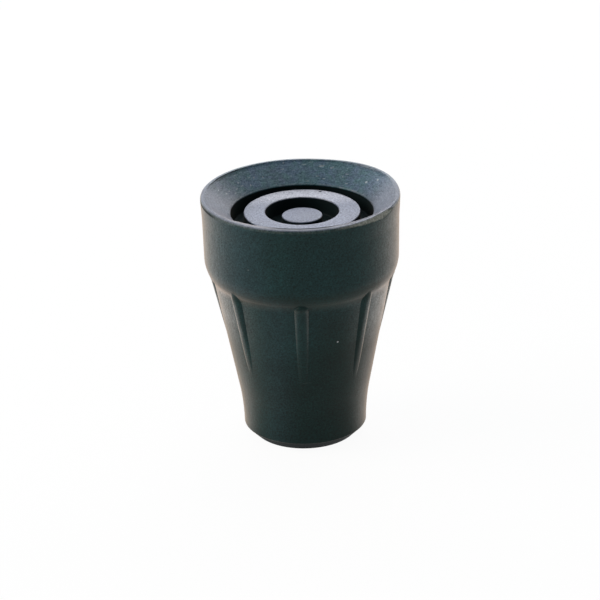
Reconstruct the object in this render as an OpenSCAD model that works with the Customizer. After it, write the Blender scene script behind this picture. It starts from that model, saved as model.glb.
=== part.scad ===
// Rubber cane tip, one moulding, standing on the mouth of its socket with the tread on top.
// Millimetres. The origin is the centre of the mouth face, and +Z runs up the axis to the tread.

/* [Height] */
// Height from the mouth of the socket to the rim of the tread
tip_h = 51.6; // [46:0.1:60]
// Height of the foot band, measured down from the rim to the shoulder
band_h = 14.5; // [11:0.1:18]
// Height of the straight lip at the mouth, before the neck begins to widen
lip_h = 5.9; // [4.5:0.1:9]

/* [Foot band] */
// Diameter of the rim, the widest part of the foot
rim_d = 40; // [39.6:0.1:46]
// Diameter of the band just above the shoulder
band_d = 39.1; // [37.6:0.1:39.6]
// Height over which the band flares out to the rim
flare_h = 4.5; // [2:0.1:7]
// Flare of the rim beyond the band, on the radius
flare_out = 0.25; // [0:0.05:0.4]
// Radius that blends the band into its flare
flare_round = 6; // [1:0.5:10]
// Slope of the shoulder, in degrees from the axis
shoulder_angle = 36; // [28:1:45]
// Radius that rounds the shoulder into the band
shoulder_round = 2.6; // [0.5:0.1:3.5]
// Radius of the fillet between the shoulder and the neck
shoulder_fillet = 3.2; // [0.5:0.1:4]

/* [Neck] */
// Outside diameter of the lip
lip_d = 25; // [23:0.1:28]
// Outside bevel of the mouth, on the radius and on the height
mouth_bevel = 1.95; // [0.5:0.05:2]
// Radius on both edges of that bevel
mouth_round = 0.35; // [0.1:0.05:0.5]
// Diameter of the neck where it runs into the shoulder
neck_top_d = 36; // [33:0.1:36.4]
// Radius that blends the lip into the taper of the neck
taper_blend = 36; // [10:1:40]

/* [Ribs] */
// Number of ribs around the neck
rib_count = 8; // [4:1:12]
// Radius of the rounded crest of a rib
rib_round = 2.15; // [1:0.05:3]
// How far a rib stands out from the neck at its top end
rib_proud = 0.55; // [0.4:0.05:1]
// Height above the mouth at which the ribs fade into the neck
rib_start = 18.4; // [15:0.1:25]

/* [Tread] */
// Radius on the outer edge of the rim
rim_round = 0.3; // [0.1:0.05:0.8]
// Width of the flat land on the rim, from its outer edge to the dish
rim_land = 0.9; // [0.8:0.05:1.5]
// Height of the sharp step from that land down to the dish
rim_step = 0.15; // [0.05:0.05:0.4]
// Depth of the dish, from the rim down to the ring
dish_depth = 3.65; // [2:0.05:5]
// Outer diameter of the outer groove, where the dish ends
outer_groove_d = 28.7; // [27:0.1:31]
// Outer diameter of the flat ring
ring_d = 23.3; // [20:0.1:25]
// Inner diameter of the flat ring
ring_hole_d = 14.8; // [12:0.1:17]
// Diameter of the centre disc
disc_d = 8.1; // [5:0.1:10]
// How far the centre disc lies below the ring
disc_drop = 0.9; // [0:0.05:1.5]
// Depth of the grooves below the ring
groove_depth = 3.3; // [2:0.1:5]
// Draft of the groove walls, on the radius
groove_draft = 0.12; // [0:0.02:0.2]
// Fillet at the foot of the groove walls
groove_fillet = 0.4; // [0.1:0.05:0.8]
// Radius on the edges of the ring, the disc and the dish
tread_round = 0.2; // [0.05:0.05:0.4]

/* [Socket] */
// Bore that grips the shaft of the cane
socket_d = 18.6; // [16:0.1:20]
// Depth of the bore
socket_depth = 34; // [25:0.5:36]
// Lead-in bevel at the mouth of the bore
socket_lead = 0.5; // [0.2:0.05:0.8]
// Fillet between the wall of the bore and its floor
socket_fillet = 1.5; // [0.5:0.1:3]

/* [Hidden] */
$fn = 180;
// Steps in each rounded corner of an outline
arc_steps = 8;
// Overlap that keeps cuts and joins clean
skin = 1;
rim_r = rim_d / 2;
band_r = band_d / 2;
lip_r = lip_d / 2;
neck_top_r = neck_top_d / 2;
socket_r = socket_d / 2;
shoulder_z = tip_h - band_h;
neck_top_z = shoulder_z - (band_r - neck_top_r) / tan(shoulder_angle);
ring_z = tip_h - dish_depth;
disc_z = ring_z - disc_drop;
groove_z = ring_z - groove_depth;
// Widening of the neck for each millimetre of height
taper = (neck_top_r - lip_r) / (neck_top_z - lip_h);
function neck_r(z) = lip_r + taper * (z - lip_h);
// The crest of a rib leans out more than the neck does
rib_lean = atan((neck_top_r + rib_proud - neck_r(rib_start)) / (neck_top_z - rib_start));

// Points that round the corner b of the path a, b, c to radius r
function rounded(a, b, c, r) =
    let (
        u = (a - b) / norm(a - b),
        v = (c - b) / norm(c - b),
        half = acos(u * v) / 2,
        centre = b + (u + v) / norm(u + v) * r / sin(half),
        first = b + u * r / tan(half) - centre,
        last = b + v * r / tan(half) - centre,
        start = atan2(first[1], first[0]),
        turn = atan2(cross(first, last), first * last)
    )
    [for (i = [0 : arc_steps])
        let (t = start + turn * i / arc_steps) centre + r * [cos(t), sin(t)]];

// Outline through corners given as [radius, height, rounding]; a rounding of 0 keeps the corner sharp
function outline(corners) =
    let (n = len(corners), at = function (i) [corners[i][0], corners[i][1]])
    [for (i = [0 : n - 1])
        each corners[i][2] == 0 ? [at(i)]
            : rounded(at((i + n - 1) % n), at(i), at((i + 1) % n), corners[i][2])];

// Outside of the tip: mouth, lip, neck, shoulder, band and rim, closed over the tread's floor
module outside() {
    rotate_extrude()
        polygon(outline([
            [0, 0, 0],
            [lip_r - mouth_bevel, 0, mouth_round],
            [lip_r, mouth_bevel, mouth_round],
            [lip_r, lip_h, taper_blend],
            [neck_top_r, neck_top_z, shoulder_fillet],
            [band_r, shoulder_z, shoulder_round],
            [rim_r - flare_out, tip_h - flare_h, flare_round],
            [rim_r, tip_h, rim_round],
            [rim_r - rim_land, tip_h, 0],
            [rim_r - rim_land, tip_h - rim_step, 0],
            [outer_groove_d / 2, ring_z, tread_round],
            [outer_groove_d / 2 - groove_draft, groove_z, groove_fillet],
            [ring_d / 2 + groove_draft, groove_z, groove_fillet],
            [ring_d / 2, ring_z, tread_round],
            [ring_hole_d / 2, ring_z, tread_round],
            [ring_hole_d / 2 - groove_draft, groove_z, groove_fillet],
            [disc_d / 2 + groove_draft, groove_z, groove_fillet],
            [disc_d / 2, disc_z, tread_round],
            [0, disc_z, 0]
        ]));
}

// One rib: a round bead sunk in the neck, leaning out until the shoulder swallows it
module rib() {
    translate([neck_r(rib_start), 0, rib_start])
        rotate([0, rib_lean, 0])
            translate([-rib_round, 0, -skin])
                cylinder(h = (shoulder_z - rib_start) / cos(rib_lean) + skin, r = rib_round);
}

module ribs() {
    for (i = [0 : rib_count - 1])
        rotate([0, 0, i * 360 / rib_count - 90])
            rib();
}

// Bore for the shaft, with a lead-in at the mouth and a filleted floor
module socket() {
    cylinder(h = socket_depth - socket_fillet, r = socket_r);
    translate([0, 0, -skin])
        cylinder(h = socket_lead + skin, r1 = socket_r + socket_lead + skin, r2 = socket_r);
    rotate_extrude()
        polygon(outline([
            [0, socket_depth - 2 * socket_fillet, 0],
            [socket_r, socket_depth - 2 * socket_fillet, 0],
            [socket_r, socket_depth, socket_fillet],
            [0, socket_depth, 0]
        ]));
}

module rubber_tip() {
    color([0.13, 0.18, 0.18])
        difference() {
            union() {
                outside();
                ribs();
            }
            socket();
        }
}

rubber_tip();
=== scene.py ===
import math

import bmesh
import bpy
from mathutils import Matrix, Vector, noise


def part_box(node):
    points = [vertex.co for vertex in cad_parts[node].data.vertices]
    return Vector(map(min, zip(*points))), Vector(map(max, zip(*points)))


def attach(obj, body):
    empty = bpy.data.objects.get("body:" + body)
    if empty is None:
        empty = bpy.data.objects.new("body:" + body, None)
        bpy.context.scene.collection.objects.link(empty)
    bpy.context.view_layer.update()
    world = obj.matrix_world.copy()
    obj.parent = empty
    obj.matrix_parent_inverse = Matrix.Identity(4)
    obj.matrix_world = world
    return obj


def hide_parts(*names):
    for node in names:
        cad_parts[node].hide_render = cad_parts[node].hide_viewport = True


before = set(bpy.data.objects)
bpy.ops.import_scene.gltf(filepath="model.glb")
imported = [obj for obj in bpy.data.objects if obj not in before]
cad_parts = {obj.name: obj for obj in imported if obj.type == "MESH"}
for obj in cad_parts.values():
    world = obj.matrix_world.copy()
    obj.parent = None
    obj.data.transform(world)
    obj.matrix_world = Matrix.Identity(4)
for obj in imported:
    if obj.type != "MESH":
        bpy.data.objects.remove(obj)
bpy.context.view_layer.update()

# ---------------------------------------------------------------------------------------
# The rubber moulding: the whole tip, one piece of dark green-black rubber pressed in a
# mould. It stands on the mouth of its socket, tread up. One rib's share of it is spun
# from its outline and repeated round, and the ribs are raised out of the neck.
# ---------------------------------------------------------------------------------------
MM = 0.001
tip_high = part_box("rubber_tip")[1]
tip_height = tip_high.z
rim_radius = tip_high.x

band_radius = 19.55 * MM
shoulder_height = tip_height - 14.8 * MM
shoulder_slope = math.radians(32)
neck_top_radius = 17.85 * MM
neck_top_height = shoulder_height - (band_radius - neck_top_radius) / math.tan(shoulder_slope)
flare_height = 4.5 * MM
flare_out = 0.25 * MM
lip_radius = 12.5 * MM
lip_height = 6.3 * MM
mouth_bevel = 2.15 * MM
socket_radius = 9.3 * MM
socket_depth = 34 * MM
socket_lead = 0.5 * MM
rim_land = 0.9 * MM
rim_step = 0.06 * MM
dish_radius = 14.35 * MM
ring_height = tip_height - 3.65 * MM
ring_radius = 11.65 * MM
ring_hole_radius = 7.4 * MM
disc_radius = 4.05 * MM
disc_height = ring_height - 0.9 * MM
groove_height = ring_height - 3.3 * MM
groove_draft = 0.12 * MM

# The outline from the middle of the centre disc, over the tread, down the outside and up
# into the socket: radius, height and rounding of each corner.
OUTLINE = [
    (0, disc_height, 0),
    (disc_radius, disc_height, 0.2 * MM),
    (disc_radius + groove_draft, groove_height, 0.4 * MM),
    (ring_hole_radius - groove_draft, groove_height, 0.4 * MM),
    (ring_hole_radius, ring_height, 0.2 * MM),
    (ring_radius, ring_height, 0.2 * MM),
    (ring_radius + groove_draft, groove_height, 0.4 * MM),
    (dish_radius - groove_draft, groove_height, 0.4 * MM),
    (dish_radius, ring_height, 0.2 * MM),
    (rim_radius - rim_land, tip_height - rim_step, 0),
    (rim_radius - rim_land, tip_height, 0),
    (rim_radius, tip_height, 0.4 * MM),
    (rim_radius - 0.1 * MM, tip_height - 2 * MM, 0),
    (rim_radius - flare_out, tip_height - flare_height, 6 * MM),
    (band_radius, shoulder_height, 6.5 * MM),
    (neck_top_radius, neck_top_height, 5 * MM),
    (lip_radius, lip_height, 42 * MM),
    (lip_radius, mouth_bevel, 0.35 * MM),
    (lip_radius - mouth_bevel, 0, 0.35 * MM),
    (socket_radius + socket_lead, 0, 0),
    (socket_radius, socket_lead, 0),
    (socket_radius, socket_depth, 1.5 * MM),
    (0, socket_depth, 0),
]
ROUND_STEPS = 5

# Longest rows of faces: short where the rim is worn and where the ribs run into the
# shoulder, long in the grooves and inside the socket.
RIM_ROW = 0.2 * MM
SHOULDER_ROW = 0.25 * MM
GROOVE_ROW = 2 * MM
SOCKET_ROW = 6 * MM
PLAIN_ROW = 0.8 * MM

# One share of the mesh has a rib in its middle, which takes up nine of its columns to each
# side. The columns slide aside for the ribs between the mouth and the flare of the band.
RIB_COUNT = 8
RIB_PITCH = 2 * math.pi / RIB_COUNT
RIB_STEPS = 60
RIB_COLUMNS = 9
COLUMNS_FROM = 2 * MM
COLUMNS_TO = tip_height - 6 * MM

RIB_HALF_WIDTH = 1.4 * MM
RIB_LEAST_HALF_WIDTH = 0.5 * MM
RIB_PROUD = 0.7 * MM
RIB_TOP = neck_top_height + 0.9 * MM
RIB_CAP = 1.1 * MM
# Powers that shape a rib: how it narrows and sinks towards its lower end, how flat it is
# across and how square its rounded top is.
RIB_NARROWING = 0.27
RIB_SINKING = 0.9
RIB_FLATNESS = 2.5
RIB_SQUARENESS = 3
# How far each rib stands out of its even place, in degrees, the height in millimetres where
# it fades into the neck, and whether its top is rounded off or runs straight into the
# shoulder. The first rib is on the right-hand side.
RIBS = [
    (0, 19.5, True),
    (0, 14.6, True),
    (0, 14.6, True),
    (0, 14.6, True),
    (-2.5, 19.5, True),
    (-2.8, 17.0, False),
    (-1.6, 14.6, True),
    (-0.8, 16.2, False),
]

# How far the tread's pattern is off the axis, and how far the step of the rim is still
# crisp, to the front and to the back.
TREAD_ASIDE = 0.3 * MM
CRISP_TO = 9 * MM

# The land of the rim is widest at the front.
LAND_WIDENING = 0.68 * MM
WIDER_TO_LEFT = math.radians(52)
WIDER_TO_RIGHT = math.radians(66)

# The rim has spread between the right-hand side and this turn towards the back.
SPREAD = 0.82 * MM
SPREAD_TO = math.radians(84)

# The rim is worn between these turns from the front towards the right.
WEAR_FROM = math.radians(4)
WEAR_DEEPEST = math.radians(54)
WEAR_TO = math.radians(66)
WEAR_DEPTH = 0.6 * MM
WEAR_TILT = math.radians(30)
WEAR_GRAIN = 1.5 * MM
WEAR_ROUGHNESS = 0.15
WEAR_FADE = 0.15 * MM


def longest_row(middle):
    """The longest row of faces on the run of the outline that has this point in its middle."""
    if middle.z > tip_height - 2.1 * MM and middle.x > rim_radius - rim_land:
        return RIM_ROW
    if neck_top_height - 1 * MM < middle.z < shoulder_height and middle.x > lip_radius:
        return SHOULDER_ROW
    if middle.x < dish_radius and socket_depth < middle.z < ring_height - 0.1 * MM:
        return GROOVE_ROW
    if middle.x < socket_radius + socket_lead and middle.z <= socket_depth:
        return SOCKET_ROW
    return PLAIN_ROW


def lay_outline(bm):
    """Lays the outline down as a chain of edges, rounds its corners and splits its long runs."""
    corners = [bm.verts.new((radius, 0, height)) for radius, height, rounding in OUTLINE]
    for pair in zip(corners, corners[1:]):
        bm.edges.new(pair)
    for i in range(1, len(OUTLINE) - 1):
        before, here, after = (Vector(OUTLINE[j][:2]) for j in (i - 1, i, i + 1))
        rounding = OUTLINE[i][2]
        if rounding:
            half = (before - here).angle(after - here) / 2
            bmesh.ops.bevel(bm, geom=[corners[i]], offset=rounding / math.tan(half),
                            offset_type="OFFSET", segments=ROUND_STEPS, profile=0.5,
                            affect="VERTICES", material=-1)
    for edge in list(bm.edges):
        row = longest_row((edge.verts[0].co + edge.verts[1].co) / 2)
        cuts = math.ceil(edge.calc_length() / row) - 1
        if cuts > 0:
            bmesh.ops.subdivide_edges(bm, edges=[edge], cuts=cuts)


def raise_ribs(bm):
    """Slides the columns of the neck so that one lies along each foot of a rib, moves the neck
    outwards between the two feet, and leaves a crisp edge along each foot."""
    column = RIB_PITCH / RIB_STEPS
    half_pitch = RIB_PITCH / 2
    neck_taper = (neck_top_radius - lip_radius) / (neck_top_height - lip_height)
    feet = set()
    for v in bm.verts:
        radius = math.hypot(v.co.x, v.co.y)
        if radius < lip_radius - 0.1 * MM or not COLUMNS_FROM < v.co.z < COLUMNS_TO:
            continue
        turn = math.atan2(v.co.y, v.co.x)
        rib = round(turn / RIB_PITCH)
        step = (turn - rib * RIB_PITCH) / column
        side = math.copysign(1, step)
        rib_off, rib_end, rounded_off = RIBS[rib % RIB_COUNT]
        rib_end *= MM
        along = (v.co.z - rib_end) / (neck_top_height - rib_end)
        along = min(max(along, 0), 1)
        cap = (v.co.z - RIB_TOP) / RIB_CAP + 1
        cap = math.sqrt(1 - min(max(cap, 0), 1) ** RIB_SQUARENESS) if rounded_off else 1
        half_width = RIB_HALF_WIDTH * along ** RIB_NARROWING * cap
        half_width = max(half_width, RIB_LEAST_HALF_WIDTH) / radius
        if v.co.z < rib_end:
            kept = (v.co.z - COLUMNS_FROM) / (rib_end - COLUMNS_FROM)
        elif v.co.z > shoulder_height:
            kept = (COLUMNS_TO - v.co.z) / (COLUMNS_TO - shoulder_height)
        else:
            kept = 1
        half_width = kept * half_width + (1 - kept) * RIB_COLUMNS * column
        middle = kept * math.radians(rib_off)
        share = abs(step) / RIB_COLUMNS
        if share <= 1:
            off = middle + side * half_width * share
            lift = RIB_PROUD * along ** RIB_SINKING * (1 - share ** RIB_FLATNESS) * cap
            crest = neck_top_radius + neck_taper * (v.co.z - neck_top_height) + lift
            if v.co.z < shoulder_height:
                radius = radius + lift if rounded_off else max(radius, crest)
        else:
            foot = middle + side * half_width
            beyond = (abs(step) - RIB_COLUMNS) / (RIB_STEPS / 2 - RIB_COLUMNS)
            off = foot + (side * half_pitch - foot) * beyond
        if round(abs(step)) == RIB_COLUMNS and rib_end < v.co.z < neck_top_height:
            feet.add(v)
        v.co.x = radius * math.cos(rib * RIB_PITCH + off)
        v.co.y = radius * math.sin(rib * RIB_PITCH + off)
    for edge in bm.edges:
        upper, lower = edge.verts
        if upper in feet and lower in feet and abs(upper.co.z - lower.co.z) > 0.05 * MM:
            edge.smooth = False


def sharpen_step(bm):
    """Leaves a crisp edge along the step of the rim at both sides, where nothing has rubbed it."""
    for edge in bm.edges:
        if all(v.co.z > tip_height - rim_step - 0.01 * MM and abs(v.co.y) < CRISP_TO
               and abs(math.hypot(v.co.x, v.co.y) - rim_radius + rim_land) < 0.01 * MM
               for v in edge.verts):
            edge.smooth = False


def widen_land(bm):
    """Squeezes the dish inwards at the front, where the land of the rim has rubbed wider."""
    for v in bm.verts:
        radius = math.hypot(v.co.x, v.co.y)
        if v.co.z < ring_height or not dish_radius < radius < rim_radius - rim_land + 0.05 * MM:
            continue
        from_front = math.atan2(v.co.x, -v.co.y)
        limit = WIDER_TO_RIGHT if from_front > 0 else WIDER_TO_LEFT
        share = (radius - dish_radius) / (rim_radius - rim_land - dish_radius)
        push = LAND_WIDENING * share * max(1 - (from_front / limit) ** 4, 0)
        v.co.x *= 1 - push / radius
        v.co.y *= 1 - push / radius


def shift_tread(bm):
    """Moves the pattern of the tread aside, as the core that formed it stood in the mould."""
    for v in bm.verts:
        radius = math.hypot(v.co.x, v.co.y)
        if v.co.z > groove_height - 0.1 * MM and radius < rim_radius - rim_land:
            slack = (rim_radius - rim_land - radius) / (rim_radius - rim_land - dish_radius)
            v.co.x += TREAD_ASIDE * min(slack, 1)


def spread_rim(bm):
    """Pushes the rim out on the side where it has taken a set, back and to the right."""
    for v in bm.verts:
        radius = math.hypot(v.co.x, v.co.y)
        turn = math.atan2(v.co.y, v.co.x)
        if v.co.z < ring_height or radius < dish_radius or not 0 < turn < SPREAD_TO:
            continue
        outward = min((radius - dish_radius) / (rim_radius - rim_land - dish_radius), 1)
        upward = (v.co.z - ring_height) / (tip_height - ring_height)
        push = SPREAD * math.sin(math.pi * turn / SPREAD_TO) ** 2 * outward * upward
        v.co.x *= 1 + push / radius
        v.co.y *= 1 + push / radius


def wear_rim(bm, layer):
    """Scuffs the rim off on one side, where the tip has dragged, and keeps how much went."""
    for v in bm.verts:
        radius = math.hypot(v.co.x, v.co.y)
        turn = math.atan2(v.co.y, v.co.x) + math.pi / 2
        if v.co.z < tip_height - 3 * MM or radius < ring_radius or not WEAR_FROM < turn < WEAR_TO:
            continue
        if turn < WEAR_DEEPEST:
            share = (turn - WEAR_FROM) / (WEAR_DEEPEST - WEAR_FROM)
        else:
            share = math.sqrt((WEAR_TO - turn) / (WEAR_TO - WEAR_DEEPEST))
        rough = 1 + WEAR_ROUGHNESS * noise.noise(v.co / WEAR_GRAIN)
        beyond = (radius - rim_radius) * math.cos(WEAR_TILT)
        beyond += (v.co.z - tip_height) * math.sin(WEAR_TILT) + WEAR_DEPTH * share * rough
        if beyond > 0:
            v[layer] = min(beyond / WEAR_FADE, 1)
            kept = radius - beyond * math.cos(WEAR_TILT)
            v.co.x *= kept / radius
            v.co.y *= kept / radius
            v.co.z -= beyond * math.sin(WEAR_TILT)


bm = bmesh.new()
lay_outline(bm)
bmesh.ops.spin(bm, geom=bm.verts[:] + bm.edges[:], cent=(0, 0, 0), axis=(0, 0, 1),
               angle=RIB_PITCH, steps=RIB_STEPS)
one_share = bm.verts[:] + bm.edges[:] + bm.faces[:]
for i in range(1, RIB_COUNT):
    repeat = bmesh.ops.duplicate(bm, geom=one_share)["geom"]
    bmesh.ops.rotate(bm, verts=[v for v in repeat if isinstance(v, bmesh.types.BMVert)],
                     cent=(0, 0, 0), matrix=Matrix.Rotation(i * RIB_PITCH, 3, "Z"))
bmesh.ops.remove_doubles(bm, verts=bm.verts, dist=0.002 * MM)
raise_ribs(bm)
sharpen_step(bm)
widen_land(bm)
shift_tread(bm)
spread_rim(bm)
wear = bm.verts.layers.float.new("wear")
wear_rim(bm, wear)
bmesh.ops.recalc_face_normals(bm, faces=bm.faces)
for face in bm.faces:
    face.smooth = True
tip_mesh = bpy.data.meshes.new("moulded_tip")
bm.to_mesh(tip_mesh)
bm.free()
tip = bpy.data.objects.new("moulded_tip", tip_mesh)
bpy.context.collection.objects.link(tip)
weighted = tip.modifiers.new("flat_faces_shade_flat", "WEIGHTED_NORMAL")
weighted.keep_sharp = True


class Wire:
    """An output socket of a shader's node; sums written with wires add their Math nodes."""

    def __init__(self, tree, socket=None):
        self.tree = tree
        self.socket = socket

    def node(self, kind, settings, inputs, output=0):
        """Adds any other node: first its settings, then the values or links of its sockets."""
        made = self.tree.nodes.new(kind)
        for name, value in settings.items():
            setattr(made, name, value)
        for key, value in inputs.items():
            if isinstance(value, Wire):
                self.tree.links.new(value.socket, made.inputs[key])
            else:
                made.inputs[key].default_value = value
        return Wire(self.tree, made.outputs[output])

    def beside(self, output):
        """Another output of the node that this wire comes from."""
        return Wire(self.tree, self.socket.node.outputs[output])

    def math(self, operation, *values):
        return self.node("ShaderNodeMath", {"operation": operation}, dict(enumerate(values)))

    def __add__(self, other):
        return self.math("ADD", self, other)

    def __radd__(self, other):
        return self.math("ADD", other, self)

    def __sub__(self, other):
        return self.math("SUBTRACT", self, other)

    def __rsub__(self, other):
        return self.math("SUBTRACT", other, self)

    def __mul__(self, other):
        return self.math("MULTIPLY", self, other)

    def __rmul__(self, other):
        return self.math("MULTIPLY", other, self)

    def __truediv__(self, other):
        return self.math("DIVIDE", self, other)

    def most(self, *others):
        """The greatest of this wire and the others."""
        greatest = self
        for other in others:
            greatest = self.math("MAXIMUM", greatest, other)
        return greatest

    def rise(self, low, high):
        """0 below the lower value, 1 above the higher one, and a smooth step between them."""
        return self.node("ShaderNodeMapRange", {"interpolation_type": "SMOOTHSTEP"},
                         {"Value": self, "From Min": low, "From Max": high})

    def tint(self, plain, tinted):
        """Mixes two colours, with this wire as the share of the second."""
        return self.node("ShaderNodeMix", {"data_type": "RGBA"}, {0: self, 6: plain, 7: tinted}, 2)

    def into(self, shader, name):
        self.tree.links.new(self.socket, shader.inputs[name])


rubber = bpy.data.materials.new("rubber")
rubber.use_nodes = True
shaders = rubber.node_tree.nodes
wire = Wire(rubber.node_tree)
place = wire.node("ShaderNodeTexCoord", {}, {}, "Object")
in_mm = place.node("ShaderNodeVectorMath", {"operation": "SCALE"}, {0: place, "Scale": 1000})
x, y, z = (in_mm.node("ShaderNodeSeparateXYZ", {}, {0: in_mm}, axis) for axis in "XYZ")
radius = wire.math("SQRT", x * x + y * y)
sweep = wire.math("ARCTAN2", y, x)
aside = x - TREAD_ASIDE / MM
reach = wire.math("SQRT", aside * aside + y * y)


def near(value, middle, width):
    """1 where a value is at the middle one, falling to 0 at a width to both sides."""
    return 1 - wire.math("ABSOLUTE", value - middle).rise(0, width)


# Grain: as fine as the mould's own surface, in clouds, in wide drifts, and in streaks that
# are brushed round the tread and that run down the walls.
grain = in_mm.node("ShaderNodeTexNoise", {}, {
    "Vector": in_mm, "Scale": 3, "Detail": 2, "Roughness": 0.6})
blotch = in_mm.node("ShaderNodeTexNoise", {}, {
    "Vector": in_mm, "Scale": 0.5, "Detail": 4, "Roughness": 0.6})
bloom = in_mm.node("ShaderNodeTexNoise", {}, {
    "Vector": in_mm, "Scale": 0.16, "Detail": 2})
brushed_place = wire.node("ShaderNodeCombineXYZ", {}, {"X": radius * 3, "Y": sweep * 14})
brushed = wire.node("ShaderNodeTexNoise", {"noise_dimensions": "2D"}, {
    "Vector": brushed_place, "Scale": 1, "Detail": 2})
flow_place = wire.node("ShaderNodeCombineXYZ", {}, {"X": sweep * 40, "Y": z * 0.4})
flow = wire.node("ShaderNodeTexNoise", {"noise_dimensions": "2D"}, {
    "Vector": flow_place, "Scale": 1, "Detail": 3})

# The sizes again, in the millimetres that the wires carry.
rim_z = tip_height / MM
ring_z = ring_height / MM
disc_z = disc_height / MM
groove_z = groove_height / MM
socket_z = socket_depth / MM
shoulder_z = shoulder_height / MM
neck_top_z = neck_top_height / MM
bevel_z = mouth_bevel / MM
rim_r = rim_radius / MM
land_r = (rim_radius - rim_land) / MM
dish_r = dish_radius / MM
ring_r = ring_radius / MM
hole_r = ring_hole_radius / MM
disc_r = disc_radius / MM
mouth_r = (socket_radius + socket_lead) / MM

# Everything that faces up in the tread, apart from the floors of the grooves. The rim is
# measured as it was before it spread.
on_land = z.rise(rim_z - 0.2, rim_z - 0.05)
spread = wire.math("SINE", sweep * (math.pi / SPREAD_TO)).most(0)
spread = spread * spread * x.rise(-0.5, 0.5) * y.rise(-0.5, 0.5)
spread = spread * (z - ring_z) / (rim_z - ring_z)
rim_reach = radius - spread * (SPREAD / MM)
within_rim = (1 - rim_reach.rise(land_r + 0.07, land_r + 0.17)).most(on_land)
above_ring = z.rise(ring_z - 0.3, ring_z - 0.1)
on_disc = z.rise(disc_z - 0.3, disc_z - 0.1) * (1 - reach.rise(disc_r + 0.05, disc_r + 0.15))
tread = (above_ring * within_rim).most(on_disc)
on_ring = near(z, ring_z, 0.3) * (1 - reach.rise(ring_r + 0.05, ring_r + 0.35))
on_ring = on_ring * reach.rise(hole_r - 0.2, hole_r)
back_of_ring = on_ring * y.rise(2, 9)

# Places on the walls: below the shoulder, on the band and low down.
under = z.rise(neck_top_z - 1.5, neck_top_z + 1) * (1 - z.rise(shoulder_z, shoulder_z + 1.5))
on_band = z.rise(34, 38)
to_right = x.rise(-8, 8)
low_down = 1 - z.rise(8 + 14 * to_right, 32 + 7 * to_right)

# Colours of the rubber: as moulded, painted shade low down and below the shoulder, painted light
# to the left, and bloom on the tread, painted darker at its front and sides and lighter on the
# ring's back.
PLAIN_RUBBER = (0.008, 0.032, 0.033, 1)
SHADED_RUBBER = (0.003, 0.018, 0.016, 1)
LEFT_LIT_RUBBER = (0.017, 0.044, 0.052, 1)
TEAL_BLOOM = (0.013, 0.062, 0.080, 1)
SLATE_BLOOM = (0.018, 0.051, 0.094, 1)
GREY_BLOOM_AND_SHADE = (0.016, 0.030, 0.058, 1)
MAUVE_BLOOM = (0.028, 0.040, 0.086, 1)
PALE_BLOOM_AND_LIGHT = (0.60, 0.56, 0.58, 1)
# Painted shade: the rubber turns darker and browner low down, more so to the right, and below the
# shoulder.
low_shade = low_down * (0.5 + 0.5 * to_right)
# Painted light: a lighter, cooler rubber on the band's left side and on the neck a little left of
# its middle, towards the left lamp.
painted_left_light = (1 - x.rise(-13, -4)) * on_band + 0.4 * near(x, -5.5, 5) * (1 - on_band)
base = low_shade.most(0.8 * under).tint(PLAIN_RUBBER, SHADED_RUBBER)
base = painted_left_light.tint(base, LEFT_LIT_RUBBER)
base = tread.tint(base, blotch.rise(0.35, 0.65).tint(TEAL_BLOOM, SLATE_BLOOM))
# Painted shade: the bloom is darker and greyer at the front and the sides of the tread.
base = (above_ring * within_rim * (1 - y.rise(2, 11))).tint(base, GREY_BLOOM_AND_SHADE)
base = on_ring.most(on_disc).tint(base, MAUVE_BLOOM)
# Painted light: the back of the ring is painted pale to lighten it; the land is rubbed a little
# pale.
base = (back_of_ring * 0.2 + on_land * 0.06).tint(base, PALE_BLOOM_AND_LIGHT)

# Scuffs: every edge of the tread is rubbed pale, and the worn part of the rim is scuffed.
SCUFFED_RUBBER = (0.27, 0.28, 0.25, 1)
rubbed = (on_ring * near(reach, ring_r - 0.05, 0.25)).most(
    on_ring * near(reach, hole_r + 0.05, 0.25),
    on_disc * near(reach, disc_r - 0.07, 0.25),
    near(reach, dish_r + 0.1, 0.25) * near(z, ring_z, 0.5),
    near(rim_reach, rim_r - 0.08, 0.3) * z.rise(rim_z - 0.75, rim_z - 0.35))
base = (rubbed * 0.14 * blotch.rise(0.3, 0.6)).tint(base, SCUFFED_RUBBER)
scuffed = wire.node("ShaderNodeAttribute", {"attribute_name": "wear"}, {}, "Fac")
base = (scuffed * (0.6 + 0.4 * blotch)).tint(base, SCUFFED_RUBBER)

# Dust: fine specks in one cell of a few, and short scratches along the turn of the dish.
DUST = (0.55, 0.58, 0.60, 1)
cell = in_mm.node("ShaderNodeTexVoronoi", {}, {"Vector": in_mm, "Scale": 1.3}, "Distance")
cell_chance = cell.node("ShaderNodeSeparateColor", {}, {0: cell.beside("Color")})
specks = (1 - cell.rise(0.05, 0.22)) * cell_chance.rise(0.75, 0.95) * (0.15 + 0.85 * tread)
streak_place = wire.node("ShaderNodeCombineXYZ", {}, {
    "X": radius * 2.2 + sweep * 2, "Y": sweep * 9})
streak = wire.node("ShaderNodeTexVoronoi", {"voronoi_dimensions": "2D"}, {
    "Vector": streak_place, "Scale": 1}, "Distance")
streak_chance = streak.node("ShaderNodeSeparateColor", {}, {0: streak.beside("Color")})
scratches = (1 - streak.rise(0.1, 0.3)) * streak_chance.rise(0.88, 0.98)
scratches = scratches * tread * radius.rise(14, 15)
dust = 0.16 * specks + 0.16 * scratches

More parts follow.
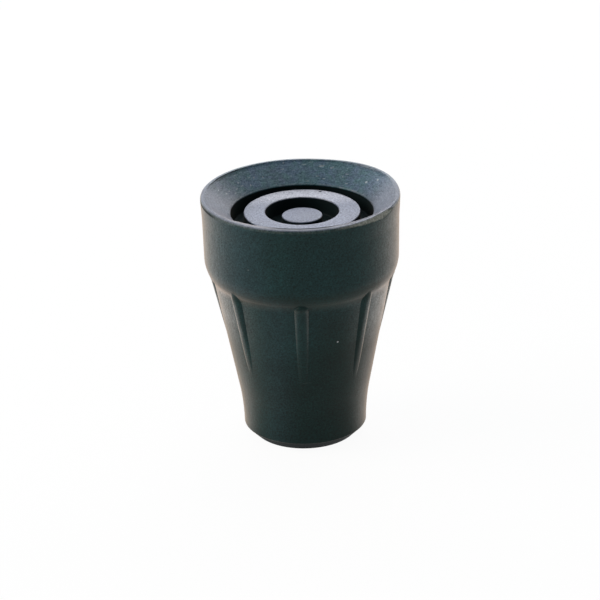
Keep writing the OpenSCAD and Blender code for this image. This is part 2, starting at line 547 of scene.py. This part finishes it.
# Separate marks: where each is, how far it reaches along x, y and z, and how pale it is.
MARKS = [
    ((4.7, 17.4, 50.7), (0.75, 0.30, 0.30), 0.20),
    ((6.8, 16.6, 50.6), (0.65, 0.25, 0.30), 0.14),
    ((8.9, 13.9, 49.6), (0.15, 0.40, 0.30), 0.12),
    ((13.5, 10.1, 49.8), (0.42, 0.40, 0.35), 0.30),
    ((15.8, 8.9, 50.7), (0.34, 0.50, 0.35), 0.26),
    ((-3.1, 18.5, 51.2), (0.25, 0.30, 0.30), 0.15),
    ((-7.4, 14.8, 49.6), (0.20, 0.30, 0.30), 0.12),
    ((-9.2, 14.1, 49.8), (0.20, 0.35, 0.30), 0.12),
    ((-9.9, 12.1, 48.9), (0.22, 0.35, 0.30), 0.20),
    ((-12.5, 11.4, 49.8), (0.30, 0.30, 0.30), 0.16),
    ((-16.5, 1.3, 49.6), (0.25, 0.40, 0.30), 0.16),
    ((6.6, -14.9, 25.7), (0.24, 0.40, 0.24), 0.60),
    ((-10.7, -16.5, 42.4), (0.20, 0.40, 0.20), 0.10),
    ((0.3, -14.5, 16.7), (1.10, 0.50, 0.14), 0.02),
]
for middle, extent, pale in MARKS:
    apart = in_mm.node("ShaderNodeVectorMath", {"operation": "SUBTRACT"}, {0: in_mm, 1: middle})
    apart = apart.node("ShaderNodeVectorMath", {"operation": "DIVIDE"}, {0: apart, 1: extent})
    apart = apart.node("ShaderNodeVectorMath", {"operation": "LENGTH"}, {0: apart}, "Value")
    dust = dust + pale * (1 - apart.rise(0.5, 1.1))
base = dust.tint(base, DUST)

uneven = grain + tread * (brushed - 0.5) * 0.45
shade = ((uneven - 0.5) * (2.2 - 0.7 * tread) + 1).most(0.2) * (0.6 + 0.8 * bloom)
base = base.node("ShaderNodeVectorMath", {"operation": "SCALE"}, {0: base, "Scale": shade})

# The oily film: patchy all over, most on the ring's back, and on the walls only seen at a
# low angle, where the handling has polished the top of the neck.
muted = on_land * (1 - y.rise(-14, -9)) * x.rise(-9, -3) * (1 - x.rise(4.5, 7))
level = z.rise(rim_z - 0.08, rim_z - 0.02)
film = 0.33 + 0.12 * blotch + 0.03 * on_ring - 0.2 * level + 0.5 * back_of_ring - 0.1 * muted
film = film - 0.06 * (1 - x.rise(-17, -12))
facing = wire.node("ShaderNodeLayerWeight", {}, {"Blend": 0.5}, "Facing")
grazing = facing.rise(0.36 - 0.11 * z.rise(14, 24), 0.658) * (1 - under)
grazing = grazing + facing.rise(0.45, 0.85) * under
above_shoulder = z.rise(34, 36)
polish = 0.28 + 0.68 * z.rise(21, 30) * (1 - above_shoulder) + 0.22 * above_shoulder
patchy = 1 + (uneven - 0.48) * (3 + tread) + (flow - 0.5) * (1 - tread) * 1.8
coat = (tread * film + (1 - tread) * grazing * polish) * patchy.most(0)
roughness = 0.3 + 0.2 * grain
relief = grain.node("ShaderNodeBump", {}, {
    "Height": grain, "Strength": 0.3, "Distance": 0.03 * MM})

# Painted shade, mixed in as a near-black rubber without film or sheen: over the bevel of the mouth,
# the socket, thin lines at the step and the edges of the rim, the front of the land, and the lower
# neck away from grazing angles. The grooves go near-black too, and a nick and a pit in the rim are
# dark.
in_groove = (1 - above_ring) * (1 - reach.rise(dish_r + 0.05, dish_r + 0.15))
in_groove = in_groove * z.rise(groove_z - 1.6, groove_z - 1.1) * (1 - on_disc)
in_mouth = 1 - z.rise(bevel_z - 0.25, bevel_z + 0.15)
in_socket = 1 - radius.rise(mouth_r + 0.1, mouth_r + 0.2)
in_socket = in_socket * (1 - z.rise(socket_z + 5, socket_z + 6))
step_line = near(radius, land_r, 0.2) * (1 - x.rise(-14, -9)) * y.rise(3.5, 6.5) * tread
inner_line = muted * (1 - radius.rise(land_r - 0.33, land_r - 0.13))
outer_line = near(z, rim_z - 0.5, 0.45) * radius.rise(rim_r - 1, rim_r - 0.5)
outer_line = outer_line * (1 - x.rise(-18, -16)) * (1 - y.rise(-2, 0))
nick = near(radius, rim_r - 0.33, 0.25) * z.rise(rim_z - 0.5, rim_z - 0.2)
nick = nick * x.rise(16.8, 17.3) * (1 - y.rise(-5.6, -4.8))
pit = in_mm.node("ShaderNodeVectorMath", {"operation": "DISTANCE"}, {
    0: in_mm, 1: (4.2, 10.1, 47.95)}, "Value")
# How much of the near-black rubber is mixed in: painted shade, with the grooves, the nick and the
# pit.
painted_shade_and_marks = (0.96 * in_groove).most(
    in_mouth, in_socket, 0.6 * step_line, 0.15 * muted + 0.85 * inner_line, outer_line,
    0.6 * nick, 1 - pit.rise(0.2, 0.4), 0.15 * (1 - z.rise(16, 34)) * (1 - grazing))


def rubber_shader(shader, sheen, tint):
    """Rubber under a thin oily film, with a sheen of fine bloom at grazing angles."""
    base.into(shader, "Base Color")
    coat.into(shader, "Coat Weight")
    roughness.into(shader, "Roughness")
    relief.into(shader, "Normal")
    shader.inputs["Specular IOR Level"].default_value = 0.118
    shader.inputs["Coat Roughness"].default_value = 0.35
    shader.inputs["Sheen Weight"].default_value = sheen
    shader.inputs["Sheen Roughness"].default_value = 0.33
    shader.inputs["Sheen Tint"].default_value = tint
    return Wire(wire.tree, shader.outputs[0])


walls = rubber_shader(shaders["Principled BSDF"], 0.64, (1, 0.66, 0.43, 1))
top = rubber_shader(shaders.new("ShaderNodeBsdfPrincipled"), 0.45, (1, 0.95, 1, 1))
surface = tread.node("ShaderNodeMixShader", {}, {0: tread, 1: walls, 2: top})

# The near-black rubber that paints the shade, and the dark grooves, nick and pit.
shade_and_mark_rubber = shaders.new("ShaderNodeBsdfPrincipled")
shade_and_mark_rubber.inputs["Base Color"].default_value = (0.0025, 0.006, 0.007, 1)
shade_and_mark_rubber.inputs["Roughness"].default_value = 0.6
shade_and_mark_rubber.inputs["Specular IOR Level"].default_value = 0.05
relief.into(shade_and_mark_rubber, "Normal")
shade_and_mark_rubber = Wire(wire.tree, shade_and_mark_rubber.outputs[0])
surface = painted_shade_and_marks.node("ShaderNodeMixShader", {}, {0: painted_shade_and_marks, 1: surface, 2: shade_and_mark_rubber})
surface.into(shaders["Material Output"], "Surface")
tip_mesh.materials.append(rubber)

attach(tip, "root")
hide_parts("rubber_tip")

# ---------------------------------------------------------------------------------------
# The studio: a wide white floor, a large soft light overhead, one behind and one on each
# side, and a pale surround. The camera is a long way off with a long lens, a little above.
# ---------------------------------------------------------------------------------------
FLOOR_RADIUS = 3.0

bm = bmesh.new()
bmesh.ops.create_circle(bm, cap_ends=True, segments=64, radius=FLOOR_RADIUS)
floor_mesh = bpy.data.meshes.new("floor")
bm.to_mesh(floor_mesh)
bm.free()
floor = bpy.data.objects.new("floor", floor_mesh)
bpy.context.collection.objects.link(floor)


def shown_white(tree, lit, glow, output, share):
    """Lets the camera, glossy and transmitted rays see a share of plain white glow."""
    rays = Wire(tree).node("ShaderNodeLightPath", {}, {}, "Is Camera Ray")
    seen = rays + rays.beside("Is Glossy Ray") + rays.beside("Is Transmission Ray")
    seen = seen.math("MINIMUM", seen, 1) * share
    mixed = seen.node("ShaderNodeMixShader", {}, {0: seen, 1: Wire(tree, lit), 2: Wire(tree, glow)})
    mixed.into(output, "Surface")


white = bpy.data.materials.new("white_floor")
white.use_nodes = True
nodes = white.node_tree.nodes
paper = nodes["Principled BSDF"]
paper.inputs["Base Color"].default_value = (0.9, 0.9, 0.9, 1)
paper.inputs["Roughness"].default_value = 1
paper.inputs["Specular IOR Level"].default_value = 0
glow = nodes.new("ShaderNodeEmission")
shown_white(white.node_tree, paper.outputs[0], glow.outputs[0], nodes["Material Output"], 0.95)
floor_mesh.materials.append(white)

world = bpy.data.worlds.new("surround")
bpy.context.scene.world = world
world.use_nodes = True
nodes = world.node_tree.nodes
surround = nodes["Background"]
surround.inputs["Color"].default_value = (0.11, 0.105, 0.10, 1)
backdrop = nodes.new("ShaderNodeBackground")
backdrop.inputs["Color"].default_value = (1, 1, 1, 1)
shown_white(world.node_tree, surround.outputs[0], backdrop.outputs[0], nodes["World Output"], 1)


def soft_light(name, turn, rise, distance, width, height, glow):
    """A soft light that faces the middle of the tip: turned to the right of the front, raised
    in degrees, and as bright as the colour of its glow."""
    lamp = bpy.data.lights.new(name, "AREA")
    lamp.shape = "RECTANGLE"
    lamp.size = width
    lamp.size_y = height
    strength = max(glow)
    lamp.energy = strength * math.pi * width * height
    lamp.color = [part / strength for part in glow]
    lamp_object = bpy.data.objects.new(name, lamp)
    bpy.context.collection.objects.link(lamp_object)
    turn = math.radians(turn)
    rise = math.radians(rise)
    toward = Vector((
        math.sin(turn) * math.cos(rise),
        -math.cos(turn) * math.cos(rise),
        math.sin(rise),
    ))
    lamp_object.location = Vector((0, 0, tip_height / 2)) + toward * distance
    lamp_object.rotation_euler = (-toward).to_track_quat("-Z", "Y").to_euler()
    lamp_object.visible_camera = False


soft_light("top_light", 180, 80, 0.85, 1.0, 1.0, (1.05, 1.16, 1.20))
soft_light("back_light", 180, 30, 0.95, 1.1, 0.65, (2.36, 2.50, 2.78))
soft_light("right_light", 132, 18, 0.95, 0.55, 0.6, (1.43, 1.27, 1.08))
soft_light("left_light", -90, 30, 0.95, 0.6, 0.6, (6.27, 5.80, 5.34))

IMAGE_SIZE = 600
CAMERA_DISTANCE = 0.5698
CAMERA_RISE = math.radians(23.91)
CAMERA_TURN = math.radians(-0.6)
CAMERA_ROLL = math.radians(-1.37)
LENS_PIXELS = 2808
TIP_MIDDLE = (302.95, 312.0)
SENSOR_WIDTH = 36

camera = bpy.data.cameras.new("camera")
camera_object = bpy.data.objects.new("camera", camera)
bpy.context.collection.objects.link(camera_object)
from_tip = Vector((
    math.sin(CAMERA_TURN) * math.cos(CAMERA_RISE),
    -math.cos(CAMERA_TURN) * math.cos(CAMERA_RISE),
    math.sin(CAMERA_RISE),
))
camera_object.location = Vector((0, 0, tip_height / 2)) + from_tip * CAMERA_DISTANCE
aim = (-from_tip).to_track_quat("-Z", "Y").to_matrix() @ Matrix.Rotation(CAMERA_ROLL, 3, "Z")
camera_object.rotation_euler = aim.to_euler()
camera.sensor_width = SENSOR_WIDTH
camera.lens = LENS_PIXELS * SENSOR_WIDTH / IMAGE_SIZE
camera.shift_x = (IMAGE_SIZE / 2 - TIP_MIDDLE[0]) / IMAGE_SIZE
camera.shift_y = (TIP_MIDDLE[1] - IMAGE_SIZE / 2) / IMAGE_SIZE
camera.clip_start = 0.01
bpy.context.scene.camera = camera_object
bpy.context.scene.view_settings.view_transform = "Standard"
